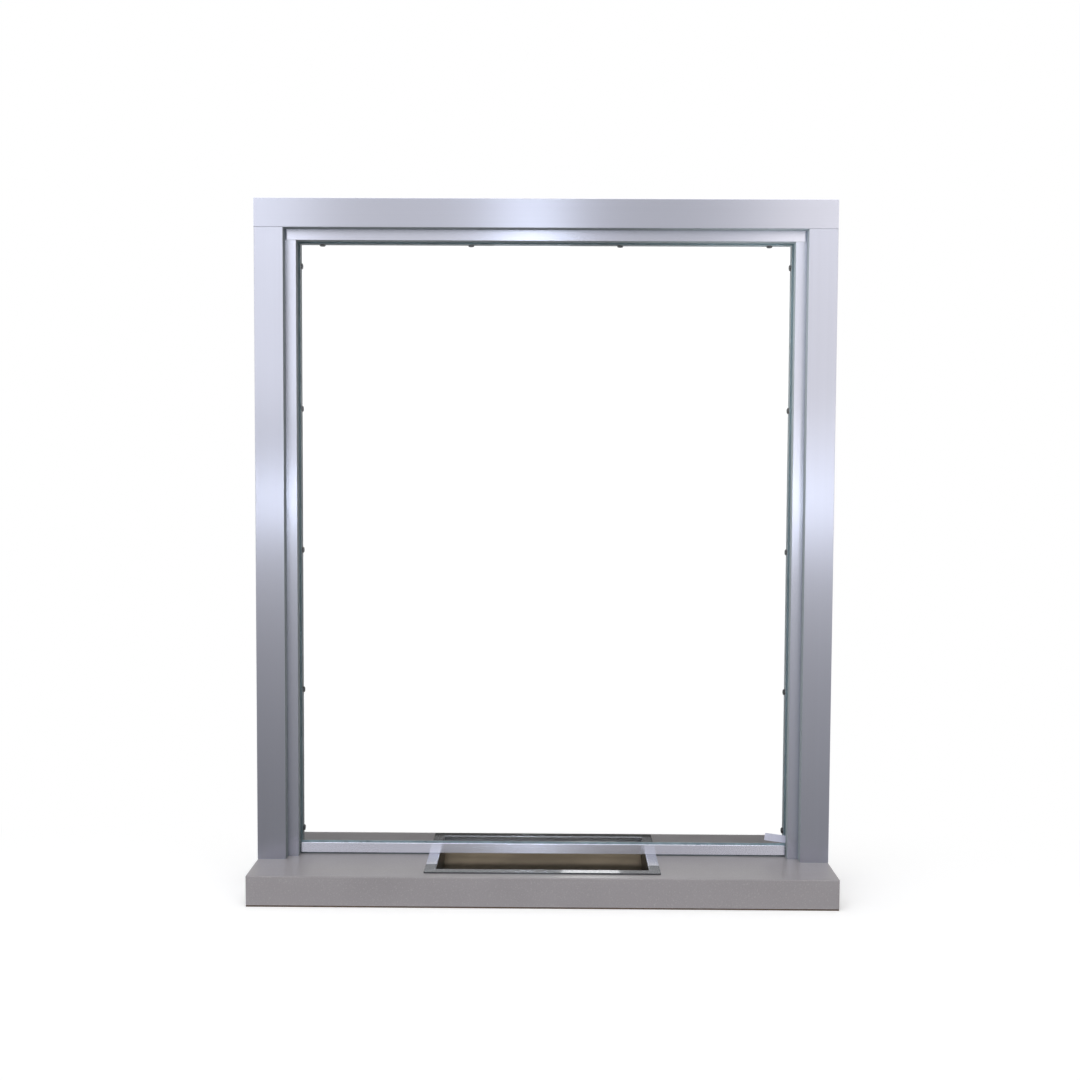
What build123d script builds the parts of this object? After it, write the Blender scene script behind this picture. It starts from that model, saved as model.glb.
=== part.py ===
from build123d import *
import os

os.makedirs("parts", exist_ok=True)

# A night pay window: an aluminium frame with fixed security glass stands on a counter,
# and a stainless deal tray passes through the counter beneath the bottom rail.
# Millimetres. +Z is up, the customer's side faces -Y, and the floor of the part is Z = 0.

# Whole unit
overall_width = 762.0
overall_height = 914.0

# Counter: a built-up slab on a plywood core, with a thin backer sheet underneath
counter_depth = 230.0
counter_overhang = 79.0
counter_height = 40.0
backer_thickness = 1.6
backer_setback = 0.6
slab_thickness = 12.0
apron_thickness = 22.0
core_clearance = 0.3
counter_corner_radius = 3.0
counter_top_arris = 1.5
counter_low_arris = 0.8

# Casing: three rectangular tubes, the head lying across both jambs
casing_face = 38.0
casing_depth = 101.6
casing_wall = 3.2
casing_arris = 0.8

# Glazing stops, measured back from the front of the casing
stop_width = 14.5
stop_setback = 15.2
front_stop_depth = 15.3
front_stop_wall = 2.0
rear_stop_depth = 12.7
stop_arris = 0.5

# Gasket groove in the glass side of the front stop
groove_neck_width = 3.0
groove_neck_depth = 1.4
groove_head_width = 5.0
groove_head_depth = 1.6
groove_clearance = 0.2

# Gaskets
gasket_thickness = 1.0
gasket_recess = 3.5
rail_gasket_side = 1.5
rail_gasket_base = 3.0
rail_gasket_lip = 2.5
rail_gasket_recess = 1.0

# Glass
glass_thickness = 25.4
glass_edge_gap = 3.0
glass_arris = 1.0

# Bottom rail, with the taller leg on the customer's side
rail_height = 13.3
rail_rear_height = 9.0
rail_leg = 2.4
rail_web = 3.0
rail_end_gap = 1.0
rail_arris = 0.5
seal_recess = 1.5
seal_end_gap = 0.3

# Deal tray, placed by the counter left clear in front of it and behind it
tray_width = 307.0
tray_front_margin = 17.5
tray_rear_margin = 9.5
tray_flange = 14.7
tray_sheet = 2.0
tray_inner_depth = 37.0
tray_corner_radius = 1.5
tray_rim_arris = 0.6
tray_mouth_radius = 1.6
cutout_clearance = 2.0
cutout_corner_radius = 6.0

# Fixings inside the casing
block_clearance = 0.3
block_depth = 70.0
base_block_height = 50.0
shear_block_height = 45.0
block_pocket_width = 18.0
block_pocket_depth = 56.0

# Holes
anchor_hole_radius = 4.0
anchor_end_margin = 150.0
head_anchor_margin = 190.0
stop_screw_radius = 2.2
pilot_hole_radius = 1.7
screw_end_margin = 29.0
head_screw_count = 4
jamb_screw_count = 5

# Places worked out from the sizes above
casing_front_y = counter_overhang - counter_depth / 2
casing_mid_y = casing_front_y + casing_depth / 2
head_bottom_z = overall_height - casing_face
head_mid_z = overall_height - casing_face / 2
jamb_height = head_bottom_z - counter_height
jamb_mid_x = (overall_width - casing_face) / 2
tube_opening_half = overall_width / 2 - casing_face
sight_opening_half = tube_opening_half - stop_width
jamb_stop_length = jamb_height - stop_width
tube_inner_face = casing_face - 2 * casing_wall
tube_inner_depth = casing_depth - 2 * casing_wall

front_stop_end = stop_setback + front_stop_depth
glass_front = front_stop_end + gasket_thickness
glass_rear = glass_front + glass_thickness
glass_mid = (glass_front + glass_rear) / 2
glass_mid_y = casing_front_y + glass_mid
rear_stop_start = glass_rear + gasket_thickness
rear_stop_mid = rear_stop_start + rear_stop_depth / 2
rear_stop_mid_y = casing_front_y + rear_stop_mid

flange_top_z = counter_height + tray_sheet
rail_bottom_z = flange_top_z
rail_length = 2 * (sight_opening_half - rail_end_gap)
rail_channel = glass_thickness + 2 * rail_gasket_side
rail_width = rail_channel + 2 * rail_leg
glass_bottom_z = rail_bottom_z + rail_web + rail_gasket_base
glass_top_z = head_bottom_z - glass_edge_gap
glass_width = 2 * (tube_opening_half - glass_edge_gap)

tray_depth = counter_depth - tray_front_margin - tray_rear_margin
tray_mid_y = (tray_front_margin - tray_rear_margin) / 2
bowl_width = tray_width - 2 * tray_flange
bowl_depth = tray_depth - 2 * tray_flange
bowl_front_y = tray_mid_y - bowl_depth / 2
bowl_rear_y = tray_mid_y + bowl_depth / 2
bowl_radius = tray_inner_depth - tray_sheet
bowl_bottom_z = counter_height - bowl_radius
cutout_width = bowl_width + 2 * (tray_sheet + cutout_clearance)
cutout_depth = bowl_depth + 2 * (tray_sheet + cutout_clearance)

head_screw_spacing = 2 * (sight_opening_half - screw_end_margin) / (head_screw_count - 1)
jamb_screw_spacing = (jamb_stop_length - 2 * screw_end_margin) / (jamb_screw_count - 1)
jamb_screw_mid_z = counter_height + jamb_stop_length / 2
jamb_anchor_spacing = jamb_height - 2 * anchor_end_margin
jamb_anchor_mid_z = counter_height + jamb_height / 2
head_anchor_spacing = overall_width - 2 * head_anchor_margin

sides = (("left", -1), ("right", 1))

# Runs along the casing: local X goes from the tube into the opening, local Y goes inwards
pocket_runs = (
    (
        "head",
        Plane(origin=(-tube_opening_half, casing_front_y, head_bottom_z), x_dir=(0, 0, -1), z_dir=(1, 0, 0)),
        2 * tube_opening_half,
    ),
    (
        "left",
        Plane(origin=(-tube_opening_half, casing_front_y, counter_height), x_dir=(1, 0, 0), z_dir=(0, 0, 1)),
        jamb_stop_length,
    ),
    (
        "right",
        Plane(
            origin=(tube_opening_half, casing_front_y, counter_height + jamb_stop_length),
            x_dir=(-1, 0, 0),
            z_dir=(0, 0, -1),
        ),
        jamb_stop_length,
    ),
)


def save(builder, name):
    """Label a finished piece and write it to its own STEP file."""
    builder.part.label = name
    export_step(builder.part, f"parts/{name}.step")


def draw_block_section():
    """Channel-shaped block that slides inside a jamb tube."""
    Rectangle(tube_inner_face - 2 * block_clearance, block_depth)
    Rectangle(block_pocket_width, block_pocket_depth, mode=Mode.SUBTRACT)


# Casing head
with BuildPart() as casing_head:
    with BuildSketch(Plane.YZ):
        with Locations((casing_mid_y, head_mid_z)):
            RectangleRounded(casing_depth, casing_face, casing_arris)
            Rectangle(tube_inner_depth, tube_inner_face, mode=Mode.SUBTRACT)
    extrude(amount=overall_width / 2, both=True)
    with BuildSketch(Plane.XY.offset(overall_height)):
        with Locations((0, glass_mid_y)):
            with GridLocations(head_anchor_spacing, 0, 2, 1):
                Circle(anchor_hole_radius)
    extrude(amount=-casing_face, mode=Mode.SUBTRACT)
    with BuildSketch(Plane.XY.offset(head_bottom_z)):
        with Locations((0, rear_stop_mid_y)):
            with GridLocations(head_screw_spacing, 0, head_screw_count, 1):
                Circle(pilot_hole_radius)
    extrude(amount=casing_wall, mode=Mode.SUBTRACT)
save(casing_head, "casing_head")

# Casing jambs, standing on the counter
for hand, side in sides:
    with BuildPart() as casing_jamb:
        with BuildSketch(Plane.XY.offset(counter_height)):
            with Locations((side * jamb_mid_x, casing_mid_y)):
                RectangleRounded(casing_face, casing_depth, casing_arris)
                Rectangle(tube_inner_face, tube_inner_depth, mode=Mode.SUBTRACT)
        extrude(amount=jamb_height)
        with BuildSketch(Plane.YZ.offset(side * overall_width / 2)):
            with Locations((glass_mid_y, jamb_anchor_mid_z)):
                with GridLocations(0, jamb_anchor_spacing, 1, 2):
                    Circle(anchor_hole_radius)
        extrude(amount=-side * casing_face, mode=Mode.SUBTRACT)
        with BuildSketch(Plane.YZ.offset(side * tube_opening_half)):
            with Locations((rear_stop_mid_y, jamb_screw_mid_z)):
                with GridLocations(0, jamb_screw_spacing, 1, jamb_screw_count):
                    Circle(pilot_hole_radius)
        extrude(amount=side * casing_wall, mode=Mode.SUBTRACT)
    save(casing_jamb, f"casing_jamb_{hand}")

# Fixing blocks inside the jambs, at the counter and under the head
for hand, side in sides:
    with BuildPart() as base_block:
        with BuildSketch(Plane.XY.offset(counter_height)):
            with Locations((side * jamb_mid_x, casing_mid_y)):
                draw_block_section()
        extrude(amount=base_block_height)
    save(base_block, f"base_block_{hand}")

    with BuildPart() as shear_block:
        with BuildSketch(Plane.XY.offset(head_bottom_z)):
            with Locations((side * jamb_mid_x, casing_mid_y)):
                draw_block_section()
        extrude(amount=-shear_block_height)
    save(shear_block, f"shear_block_{hand}")

# Front stops: hollow bars with a T-shaped gasket groove in the glass side
core_depth = front_stop_depth - 2 * front_stop_wall - groove_neck_depth - groove_head_depth
core_mid = stop_setback + front_stop_wall + core_depth / 2
groove_neck_mid = front_stop_end - groove_neck_depth / 2
groove_head_mid = front_stop_end - groove_neck_depth - groove_head_depth / 2
for place, plane, length in pocket_runs:
    with BuildPart() as front_stop:
        with BuildSketch(plane):
            with Locations((stop_width / 2, stop_setback + front_stop_depth / 2)):
                RectangleRounded(stop_width, front_stop_depth, stop_arris)
            with Locations((stop_width / 2, core_mid)):
                Rectangle(stop_width - 2 * front_stop_wall, core_depth, mode=Mode.SUBTRACT)
            with Locations((stop_width / 2, groove_neck_mid)):
                Rectangle(groove_neck_width, groove_neck_depth, mode=Mode.SUBTRACT)
            with Locations((stop_width / 2, groove_head_mid)):
                Rectangle(groove_head_width, groove_head_depth, mode=Mode.SUBTRACT)
        extrude(amount=length)
    save(front_stop, f"front_stop_{place}")

# Front gaskets: a flat strip on the glass with a barbed rib pushed into the groove
gasket_width = stop_width - gasket_recess
rib_neck_width = groove_neck_width - 2 * groove_clearance
rib_head_width = groove_head_width - 2 * groove_clearance
rib_head_depth = groove_head_depth - 2 * groove_clearance
rib_head_mid = front_stop_end - groove_neck_depth - groove_clearance - rib_head_depth / 2
rib_neck_depth = groove_neck_depth + groove_clearance
for place, plane, length in pocket_runs:
    with BuildPart() as front_gasket:
        with BuildSketch(plane):
            with Locations((gasket_width / 2, front_stop_end + gasket_thickness / 2)):
                Rectangle(gasket_width, gasket_thickness)
            with Locations((stop_width / 2, front_stop_end - rib_neck_depth / 2)):
                Rectangle(rib_neck_width, rib_neck_depth)
            with Locations((stop_width / 2, rib_head_mid)):
                Rectangle(rib_head_width, rib_head_depth)
        extrude(amount=length)
    save(front_gasket, f"front_gasket_{place}")

# Glass
with BuildPart() as glass_pane:
    with BuildSketch(Plane.XY.offset(glass_bottom_z)):
        with Locations((0, glass_mid_y)):
            Rectangle(glass_width, glass_thickness)
    extrude(amount=glass_top_z - glass_bottom_z)
    chamfer(glass_pane.edges(), glass_arris)
save(glass_pane, "glass_pane")

# Rear gaskets
for place, plane, length in pocket_runs:
    with BuildPart() as rear_gasket:
        with BuildSketch(plane):
            with Locations((gasket_width / 2, glass_rear + gasket_thickness / 2)):
                Rectangle(gasket_width, gasket_thickness)
        extrude(amount=length)
    save(rear_gasket, f"rear_gasket_{place}")

# Rear stops: solid bars with clearance holes for the screws that hold them to the casing
for place, plane, length in pocket_runs:
    with BuildPart() as rear_stop:
        with BuildSketch(plane):
            with Locations((stop_width / 2, rear_stop_mid)):
                RectangleRounded(stop_width, rear_stop_depth, stop_arris)
        extrude(amount=length)
        if place == "head":
            with BuildSketch(Plane.XY.offset(head_bottom_z)):
                with Locations((0, rear_stop_mid_y)):
                    with GridLocations(head_screw_spacing, 0, head_screw_count, 1):
                        Circle(stop_screw_radius)
            extrude(amount=-stop_width, mode=Mode.SUBTRACT)
        else:
            side = dict(sides)[place]
            with BuildSketch(Plane.YZ.offset(side * tube_opening_half)):
                with Locations((rear_stop_mid_y, jamb_screw_mid_z)):
                    with GridLocations(0, jamb_screw_spacing, 1, jamb_screw_count):
                        Circle(stop_screw_radius)
            extrude(amount=-side * stop_width, mode=Mode.SUBTRACT)
    save(rear_stop, f"rear_stop_{place}")

# Bottom rail: a channel on the lower edge of the glass
with BuildPart() as bottom_rail:
    with BuildSketch(Plane.YZ):
        with Locations((glass_mid_y, rail_bottom_z + rail_height / 2)):
            RectangleRounded(rail_width, rail_height, rail_arris)
        with Locations((glass_mid_y, rail_bottom_z + rail_web)):
            Rectangle(rail_channel, rail_height, align=(Align.CENTER, Align.MIN), mode=Mode.SUBTRACT)
        with Locations((glass_mid_y, rail_bottom_z + rail_rear_height)):
            Rectangle(rail_width, rail_height, align=(Align.MIN, Align.MIN), mode=Mode.SUBTRACT)
    extrude(amount=rail_length / 2, both=True)
save(bottom_rail, "bottom_rail")

# Gasket folded round the lower edge of the glass: its front lip stands above the rail
gasket_front_height = rail_height - rail_web + rail_gasket_lip
gasket_rear_height = rail_rear_height - rail_web - rail_gasket_recess
with BuildPart() as rail_gasket:
    with BuildSketch(Plane.YZ):
        with Locations((glass_mid_y, rail_bottom_z + rail_web)):
            Rectangle(rail_channel / 2, gasket_front_height, align=(Align.MAX, Align.MIN))
            Rectangle(rail_channel / 2, gasket_rear_height, align=(Align.MIN, Align.MIN))
        with Locations((glass_mid_y, glass_bottom_z)):
            Rectangle(glass_thickness, rail_height, align=(Align.CENTER, Align.MIN), mode=Mode.SUBTRACT)
    extrude(amount=rail_length / 2, both=True)
save(rail_gasket, "rail_gasket")

# Seals under the rail, and setting blocks under the corners of the glass
seal_inner_x = tray_width / 2 + seal_end_gap
seal_outer_x = rail_length / 2
seal_length = seal_outer_x - seal_inner_x
setting_block_length = stop_width - glass_edge_gap
setting_block_mid_x = sight_opening_half + setting_block_length / 2
for hand, side in sides:
    with BuildPart() as sill_seal:
        with BuildSketch(Plane.XY.offset(counter_height)):
            with Locations((side * (seal_inner_x + seal_length / 2), glass_mid_y)):
                Rectangle(seal_length, rail_width - 2 * seal_recess)
        extrude(amount=tray_sheet)
    save(sill_seal, f"sill_seal_{hand}")

    with BuildPart() as setting_block:
        with BuildSketch(Plane.XY.offset(counter_height)):
            with Locations((side * setting_block_mid_x, glass_mid_y)):
                Rectangle(setting_block_length, glass_thickness - 2 * glass_arris)
        extrude(amount=glass_bottom_z - counter_height)
    save(setting_block, f"setting_block_{hand}")

# Deal tray flange, proud of the counter and under the rail
with BuildPart() as tray_flange_frame:
    with BuildSketch(Plane.XY.offset(counter_height)):
        with Locations((0, tray_mid_y)):
            RectangleRounded(tray_width, tray_depth, tray_corner_radius)
            Rectangle(bowl_width, bowl_depth, mode=Mode.SUBTRACT)
    extrude(amount=tray_sheet)
    flange_face = tray_flange_frame.faces().sort_by(Axis.Z)[-1]
    fillet(flange_face.outer_wire().edges(), tray_rim_arris)
    flange_face = tray_flange_frame.faces().sort_by(Axis.Z)[-1]
    fillet(flange_face.inner_wires().edges(), tray_mouth_radius)
save(tray_flange_frame, "tray_flange")

# Deal tray scoop: one sheet curved up at the front and the rear
with BuildPart() as tray_scoop:
    with BuildSketch(Plane.YZ):
        with BuildLine():
            front_drop = Line((bowl_front_y - tray_sheet, counter_height), (bowl_front_y, counter_height))
            front_curve = TangentArc(
                front_drop @ 1, (bowl_front_y + bowl_radius, bowl_bottom_z), tangent=(0, -1)
            )
            floor_line = Line(front_curve @ 1, (bowl_rear_y - bowl_radius, bowl_bottom_z))
            rear_curve = TangentArc(floor_line @ 1, (bowl_rear_y, counter_height), tangent=(1, 0))
            rear_top = Line(rear_curve @ 1, (bowl_rear_y + tray_sheet, counter_height))
            under_rear = TangentArc(
                rear_top @ 1, (bowl_rear_y - bowl_radius, bowl_bottom_z - tray_sheet), tangent=(0, -1)
            )
            under_floor = Line(under_rear @ 1, (bowl_front_y + bowl_radius, bowl_bottom_z - tray_sheet))
            TangentArc(under_floor @ 1, front_drop @ 0, tangent=(-1, 0))
        make_face()
    extrude(amount=bowl_width / 2, both=True)
save(tray_scoop, "tray_scoop")

# Deal tray ends: flat plates closing the scoop
for hand, side in sides:
    with BuildPart() as tray_end:
        with BuildSketch(Plane.YZ.offset(side * bowl_width / 2)):
            with BuildLine():
                top = Line((bowl_rear_y + tray_sheet, counter_height), (bowl_front_y - tray_sheet, counter_height))
                front_curve = TangentArc(
                    top @ 1, (bowl_front_y + bowl_radius, bowl_bottom_z - tray_sheet), tangent=(0, -1)
                )
                floor_line = Line(front_curve @ 1, (bowl_rear_y - bowl_radius, bowl_bottom_z - tray_sheet))
                TangentArc(floor_line @ 1, top @ 0, tangent=(1, 0))
            make_face()
        extrude(amount=side * tray_sheet)
    save(tray_end, f"tray_end_{hand}")

# Counter: slab with built-up edges
with BuildPart() as counter_top:
    with BuildSketch(Plane.XY.offset(backer_thickness)):
        RectangleRounded(overall_width, counter_depth, counter_corner_radius)
    extrude(amount=counter_height - backer_thickness)
    fillet(counter_top.faces().sort_by(Axis.Z)[-1].edges(), counter_top_arris)
    chamfer(counter_top.faces().sort_by(Axis.Z)[0].edges(), counter_low_arris)
    with BuildSketch(Plane.XY.offset(backer_thickness)):
        Rectangle(overall_width - 2 * apron_thickness, counter_depth - 2 * apron_thickness)
    extrude(amount=counter_height - slab_thickness - backer_thickness, mode=Mode.SUBTRACT)
    with BuildSketch(Plane.XY.offset(counter_height)):
        with Locations((0, tray_mid_y)):
            RectangleRounded(cutout_width, cutout_depth, cutout_corner_radius)
    extrude(amount=-counter_height, mode=Mode.SUBTRACT)
save(counter_top, "counter_top")

# Counter core
with BuildPart() as counter_core:
    with BuildSketch(Plane.XY.offset(backer_thickness)):
        Rectangle(
            overall_width - 2 * (apron_thickness + core_clearance),
            counter_depth - 2 * (apron_thickness + core_clearance),
        )
        with Locations((0, tray_mid_y)):
            RectangleRounded(cutout_width, cutout_depth, cutout_corner_radius, mode=Mode.SUBTRACT)
    extrude(amount=counter_height - slab_thickness - backer_thickness)
save(counter_core, "counter_core")

# Backer sheet that the part stands on
with BuildPart() as counter_backer:
    with BuildSketch(Plane.XY):
        Rectangle(overall_width - 2 * backer_setback, counter_depth - 2 * backer_setback)
        with Locations((0, tray_mid_y)):
            RectangleRounded(cutout_width, cutout_depth, cutout_corner_radius, mode=Mode.SUBTRACT)
    extrude(amount=backer_thickness)
save(counter_backer, "counter_backer")
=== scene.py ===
import math

import bmesh
import bpy
from mathutils import Matrix, Vector


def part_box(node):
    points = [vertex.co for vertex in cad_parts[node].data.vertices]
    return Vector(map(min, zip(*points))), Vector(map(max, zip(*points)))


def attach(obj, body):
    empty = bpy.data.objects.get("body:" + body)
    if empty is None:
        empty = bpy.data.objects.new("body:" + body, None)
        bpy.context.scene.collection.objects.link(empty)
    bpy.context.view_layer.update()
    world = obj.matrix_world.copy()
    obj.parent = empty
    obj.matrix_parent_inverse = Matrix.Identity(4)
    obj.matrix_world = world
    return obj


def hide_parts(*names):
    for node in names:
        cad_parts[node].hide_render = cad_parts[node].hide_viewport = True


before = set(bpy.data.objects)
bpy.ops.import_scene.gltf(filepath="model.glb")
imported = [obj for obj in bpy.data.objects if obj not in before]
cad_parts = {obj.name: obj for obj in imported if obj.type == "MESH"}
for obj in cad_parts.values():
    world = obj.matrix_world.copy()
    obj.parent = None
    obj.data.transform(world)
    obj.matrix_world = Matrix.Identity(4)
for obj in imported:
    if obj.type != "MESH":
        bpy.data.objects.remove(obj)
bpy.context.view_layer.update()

bl_info = {
    "name": "Night Pay Window",
    "version": (1, 0, 0),
    "blender": (4, 5, 0),
    "location": "3D View > Sidebar > Pay Window",
    "description": "Finishes, small fixings and a studio for a night pay window with a deal tray",
    "category": "Object",
}

# Scales of a pattern along x, y and z: lines up a jamb, lines across the window, no direction.
UPRIGHT = (450.0, 450.0, 1.2)
LENGTHWISE = (1.2, 450.0, 450.0)
EVEN = (1.0, 1.0, 1.0)

BLACK = (0.0, 0.0, 0.0)
WHITE = (1.0, 1.0, 1.0)

# Where painted light turns the reveal's painted shade paler, across and up, and the share of it
# that its lower part takes.
PAINTED_LIGHT_ACROSS = (0.1, 0.3)
PAINTED_LIGHT_UP = (0.4, 0.75)
LOWER_SHARE = 0.35
REVEAL_ROUGHNESS = 0.85

# Distances over which the tray's rim turns to its painted shade, in from each end of the opening,
# and depths over which the bowl's painted shade begins below the rim.
RIM_FRONT = (0.025, 0.021)
RIM_REAR = (0.003, 0.001)
BOWL_SHADE_DEPTH = (0.002, 0.008)

HEAD_SCREWS = 4
JAMB_SCREWS = 5
SCREW_SEGMENTS = 24
DRIVE_SIDES = 6
DOME_STEPS = 4

SENSOR_WIDTH = 36.0
FLOOR_DROP = 0.0003
OVAL_SCALE = (0.4, 1.0, 1.0)
OVAL_SHIFT = (0.0, 0.25, 0.0)
CARD_GAP = 0.02
CARD_LIFT = 0.002
CARD_SLOPE = (1.02, 1.36)
WHITE_THROUGH_GLASS = 1.08
STAND_UP = Matrix.Rotation(math.pi / 2, 4, "X")

DARK_RUBBER_NODES = [
    *(f"{kind}_gasket_head" for kind in ("front", "rear")),
    *(
        f"{kind}_{hand}"
        for kind in ("front_gasket", "rear_gasket", "sill_seal", "setting_block")
        for hand in ("left", "right")
    ),
]

# Name, also of the property with its power; place; aim; width and height; tint.
LAMPS = (
    ("top_softbox", (0.0, 0.1, 2.9), (0.0, 0.1, 0.0), (2.4, 4.0), WHITE),
    ("left_softbox", (-1.56, -2.6, 1.85), (-1.56, 0.0, 1.45), (1.6, 2.3), (0.91, 0.945, 1.0)),
    ("right_softbox", (1.5, -2.6, 1.72), (1.5, 0.0, 1.32), (1.6, 2.3), (1.0, 0.93, 0.84)),
    ("head_lamp", (-0.045, -1.93, 1.2), (-0.02, 0.0, 0.8), (0.2, 0.2), (0.82, 0.89, 1.0)),
    ("camera_lamp", (-0.045, -1.93, 0.47), (-0.02, 0.0, 0.5), (0.1, 0.1), (0.8, 0.88, 1.0)),
    ("left_fill", (-0.92, -1.95, 0.45), (-0.36, 0.0, 0.5), (0.3, 0.12), (0.88, 0.92, 1.0)),
    ("right_fill", (0.98, -1.95, 0.5), (0.36, 0.0, 0.5), (0.3, 0.35), (0.92, 0.95, 1.0)),
)


def colour_property(name, description, default):
    """A plain linear colour that the sidebar can show."""
    return bpy.props.FloatVectorProperty(
        name=name,
        description=description,
        default=default,
        size=3,
        min=0.0,
        max=1.0,
        subtype="COLOR",
    )


def length_property(name, description, default):
    """A length in metres."""
    return bpy.props.FloatProperty(
        name=name, description=description, default=default, min=0.0, unit="LENGTH", precision=4
    )


def share_property(name, description, default):
    """A share from 0 to 1."""
    return bpy.props.FloatProperty(
        name=name, description=description, default=default, min=0.0, max=1.0, subtype="FACTOR"
    )


def amount_property(name, description, default):
    """A number from 0 upwards."""
    return bpy.props.FloatProperty(name=name, description=description, default=default, min=0.0)


def angle_property(name, description, default):
    """An angle."""
    return bpy.props.FloatProperty(
        name=name, description=description, default=default, subtype="ANGLE"
    )


def power_property(name, default):
    """The power of one lamp."""
    return bpy.props.FloatProperty(name=name, description="Power", default=default, unit="POWER")


class PayWindowFinishes(bpy.types.PropertyGroup):
    """Colours and gloss of every surface of the pay window"""

    aluminium: colour_property(
        "Aluminium", "Clear anodised aluminium of the casing", (0.5, 0.51, 0.59)
    )
    aluminium_gloss: share_property(
        "Aluminium Roughness", "How blurred the casing's reflections are", 0.3
    )
    stop_aluminium: colour_property(
        "Stop Aluminium", "Aluminium of the jamb stops", (0.577, 0.59, 0.682)
    )
    # Painted light: the head stops are painted paler than the jamb stops of the same aluminium.
    head_stop_painted_light: colour_property("Head Stop", "Aluminium of the head stops", (0.65, 0.66, 0.76))
    stop_gloss: share_property("Stop Roughness", "How blurred the stops' reflections are", 0.27)
    # Painted shade: a dark tone that stands in for the shade on the faces that look into the
    # opening.
    reveal: colour_property(
        "Reveal", "Dull dark finish of the faces that look into the opening", (0.205, 0.232, 0.248)
    )
    # Painted shade: a dark blue-green tone on the rear stop's face behind the glass, with the
    # glass's tint painted in.
    stop_edge_painted_shade: colour_property(
        "Stop Edge Behind Glass", "Rear stop where it shows through the glass", (0.165, 0.23, 0.26)
    )
    # Painted light: how much paler the reveal's painted shade is at the top right.
    reveal_painted_light: amount_property(
        "Right Reveal", "How much paler the reveal is at the top right", 1.6
    )
    rail: colour_property("Rail Aluminium", "Aluminium of the bottom rail", (0.75, 0.76, 0.86))
    grain: share_property("Grain", "Strength of the fine lines along each extrusion", 0.06)
    glass: colour_property("Glass", "Face of the security glass", (0.995, 1.0, 0.998))
    glass_edge: colour_property(
        "Glass Edge", "Ground edges of the security glass", (0.3, 0.62, 0.58)
    )
    rubber: colour_property("Rubber", "Dark grey glazing gaskets", (0.1, 0.13, 0.14))
    rail_rubber: colour_property(
        "Rail Gasket", "Blue-green vinyl round the lower edge of the glass", (0.2, 0.28, 0.32)
    )
    steel: colour_property(
        "Tray Steel", "Brushed stainless steel of the deal tray", (0.5, 0.51, 0.565)
    )
    # Painted shade: the front and rear of the tray rim are painted darker than the steel.
    rim_painted_shade: colour_property(
        "Tray Rim Front", "Front and rear of the tray rim, brushed crosswise", (0.1, 0.104, 0.112)
    )
    # Painted shade: the insides of the tray's end walls are painted near black.
    tray_end: colour_property("Tray Ends", "Inside of the tray's end walls", (0.05, 0.053, 0.05))
    # Painted shade: a warm dark tone inside the tray's bowl.
    bowl_painted_shade: colour_property(
        "Tray Bowl", "Warm dark tone inside the bowl of the tray", (0.083, 0.068, 0.05)
    )
    counter: colour_property("Counter", "Honed grey of the counter", (0.285, 0.268, 0.28))
    # Painted shade: the backer's dark brown gives the shaded line along the counter's lower edge.
    backer: colour_property("Backer", "Brown sheet under the counter", (0.085, 0.055, 0.035))
    plywood: colour_property("Plywood", "Core of the counter", (0.5, 0.34, 0.19))
    block: colour_property("Blocks", "Mill finish blocks inside the jambs", (0.45, 0.45, 0.46))
    screw: colour_property("Screws", "Dark plated stop screws", (0.05, 0.053, 0.055))
    label: colour_property("Label", "Blank label on the glass", (0.64, 0.65, 0.78))


class PayWindowFixings(bpy.types.PropertyGroup):
    """Sizes of the stop screws, of the edge of the glass and of the blank label"""

    screw_radius: length_property(
        "Screw Head Radius", "Half the width of a stop screw's head", 0.004
    )
    screw_height: length_property("Screw Head Height", "How far a head stands off its stop", 0.0026)
    screw_dome: length_property("Screw Dome", "Rounding of the head's shoulder", 0.0016)
    drive_radius: length_property("Drive Radius", "Half the width of the hexagon socket", 0.0013)
    drive_depth: length_property("Drive Depth", "Depth of the hexagon socket", 0.0013)
    shank_radius: length_property("Shank Radius", "Half the width of the screw's shank", 0.0016)
    shank_length: length_property("Shank Length", "Length of the shank inside the stop", 0.0135)
    head_spacing: length_property(
        "Head Screw Spacing", "Between the screws of the head stop", 0.199667
    )
    jamb_spacing: length_property(
        "Jamb Screw Spacing", "Between the screws of a jamb stop", 0.190875
    )
    end_margin: length_property("Lowest Screw", "From the counter to the lowest jamb screw", 0.029)
    glass_inset: length_property("Glass Inset", "Air between the glass and its gaskets", 0.00006)
    glass_arris: length_property("Glass Arris", "Width of the ground arris round the glass", 0.001)
    label_width: length_property("Label Width", "Length of the blank label", 0.0292)
    label_height: length_property("Label Height", "Height of the blank label", 0.0101)
    label_thickness: length_property("Label Thickness", "Thickness of the blank label", 0.00015)
    label_corner: length_property("Label Corner", "Radius of the label's corners", 0.0012)
    label_middle: bpy.props.FloatVectorProperty(
        name="Label Middle",
        description="Middle of the label, across and up",
        default=(0.3149, 0.0648),
        size=2,
        unit="LENGTH",
    )
    label_turn: angle_property("Label Tilt", "How far the label is turned on the glass", 0.131)


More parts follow.
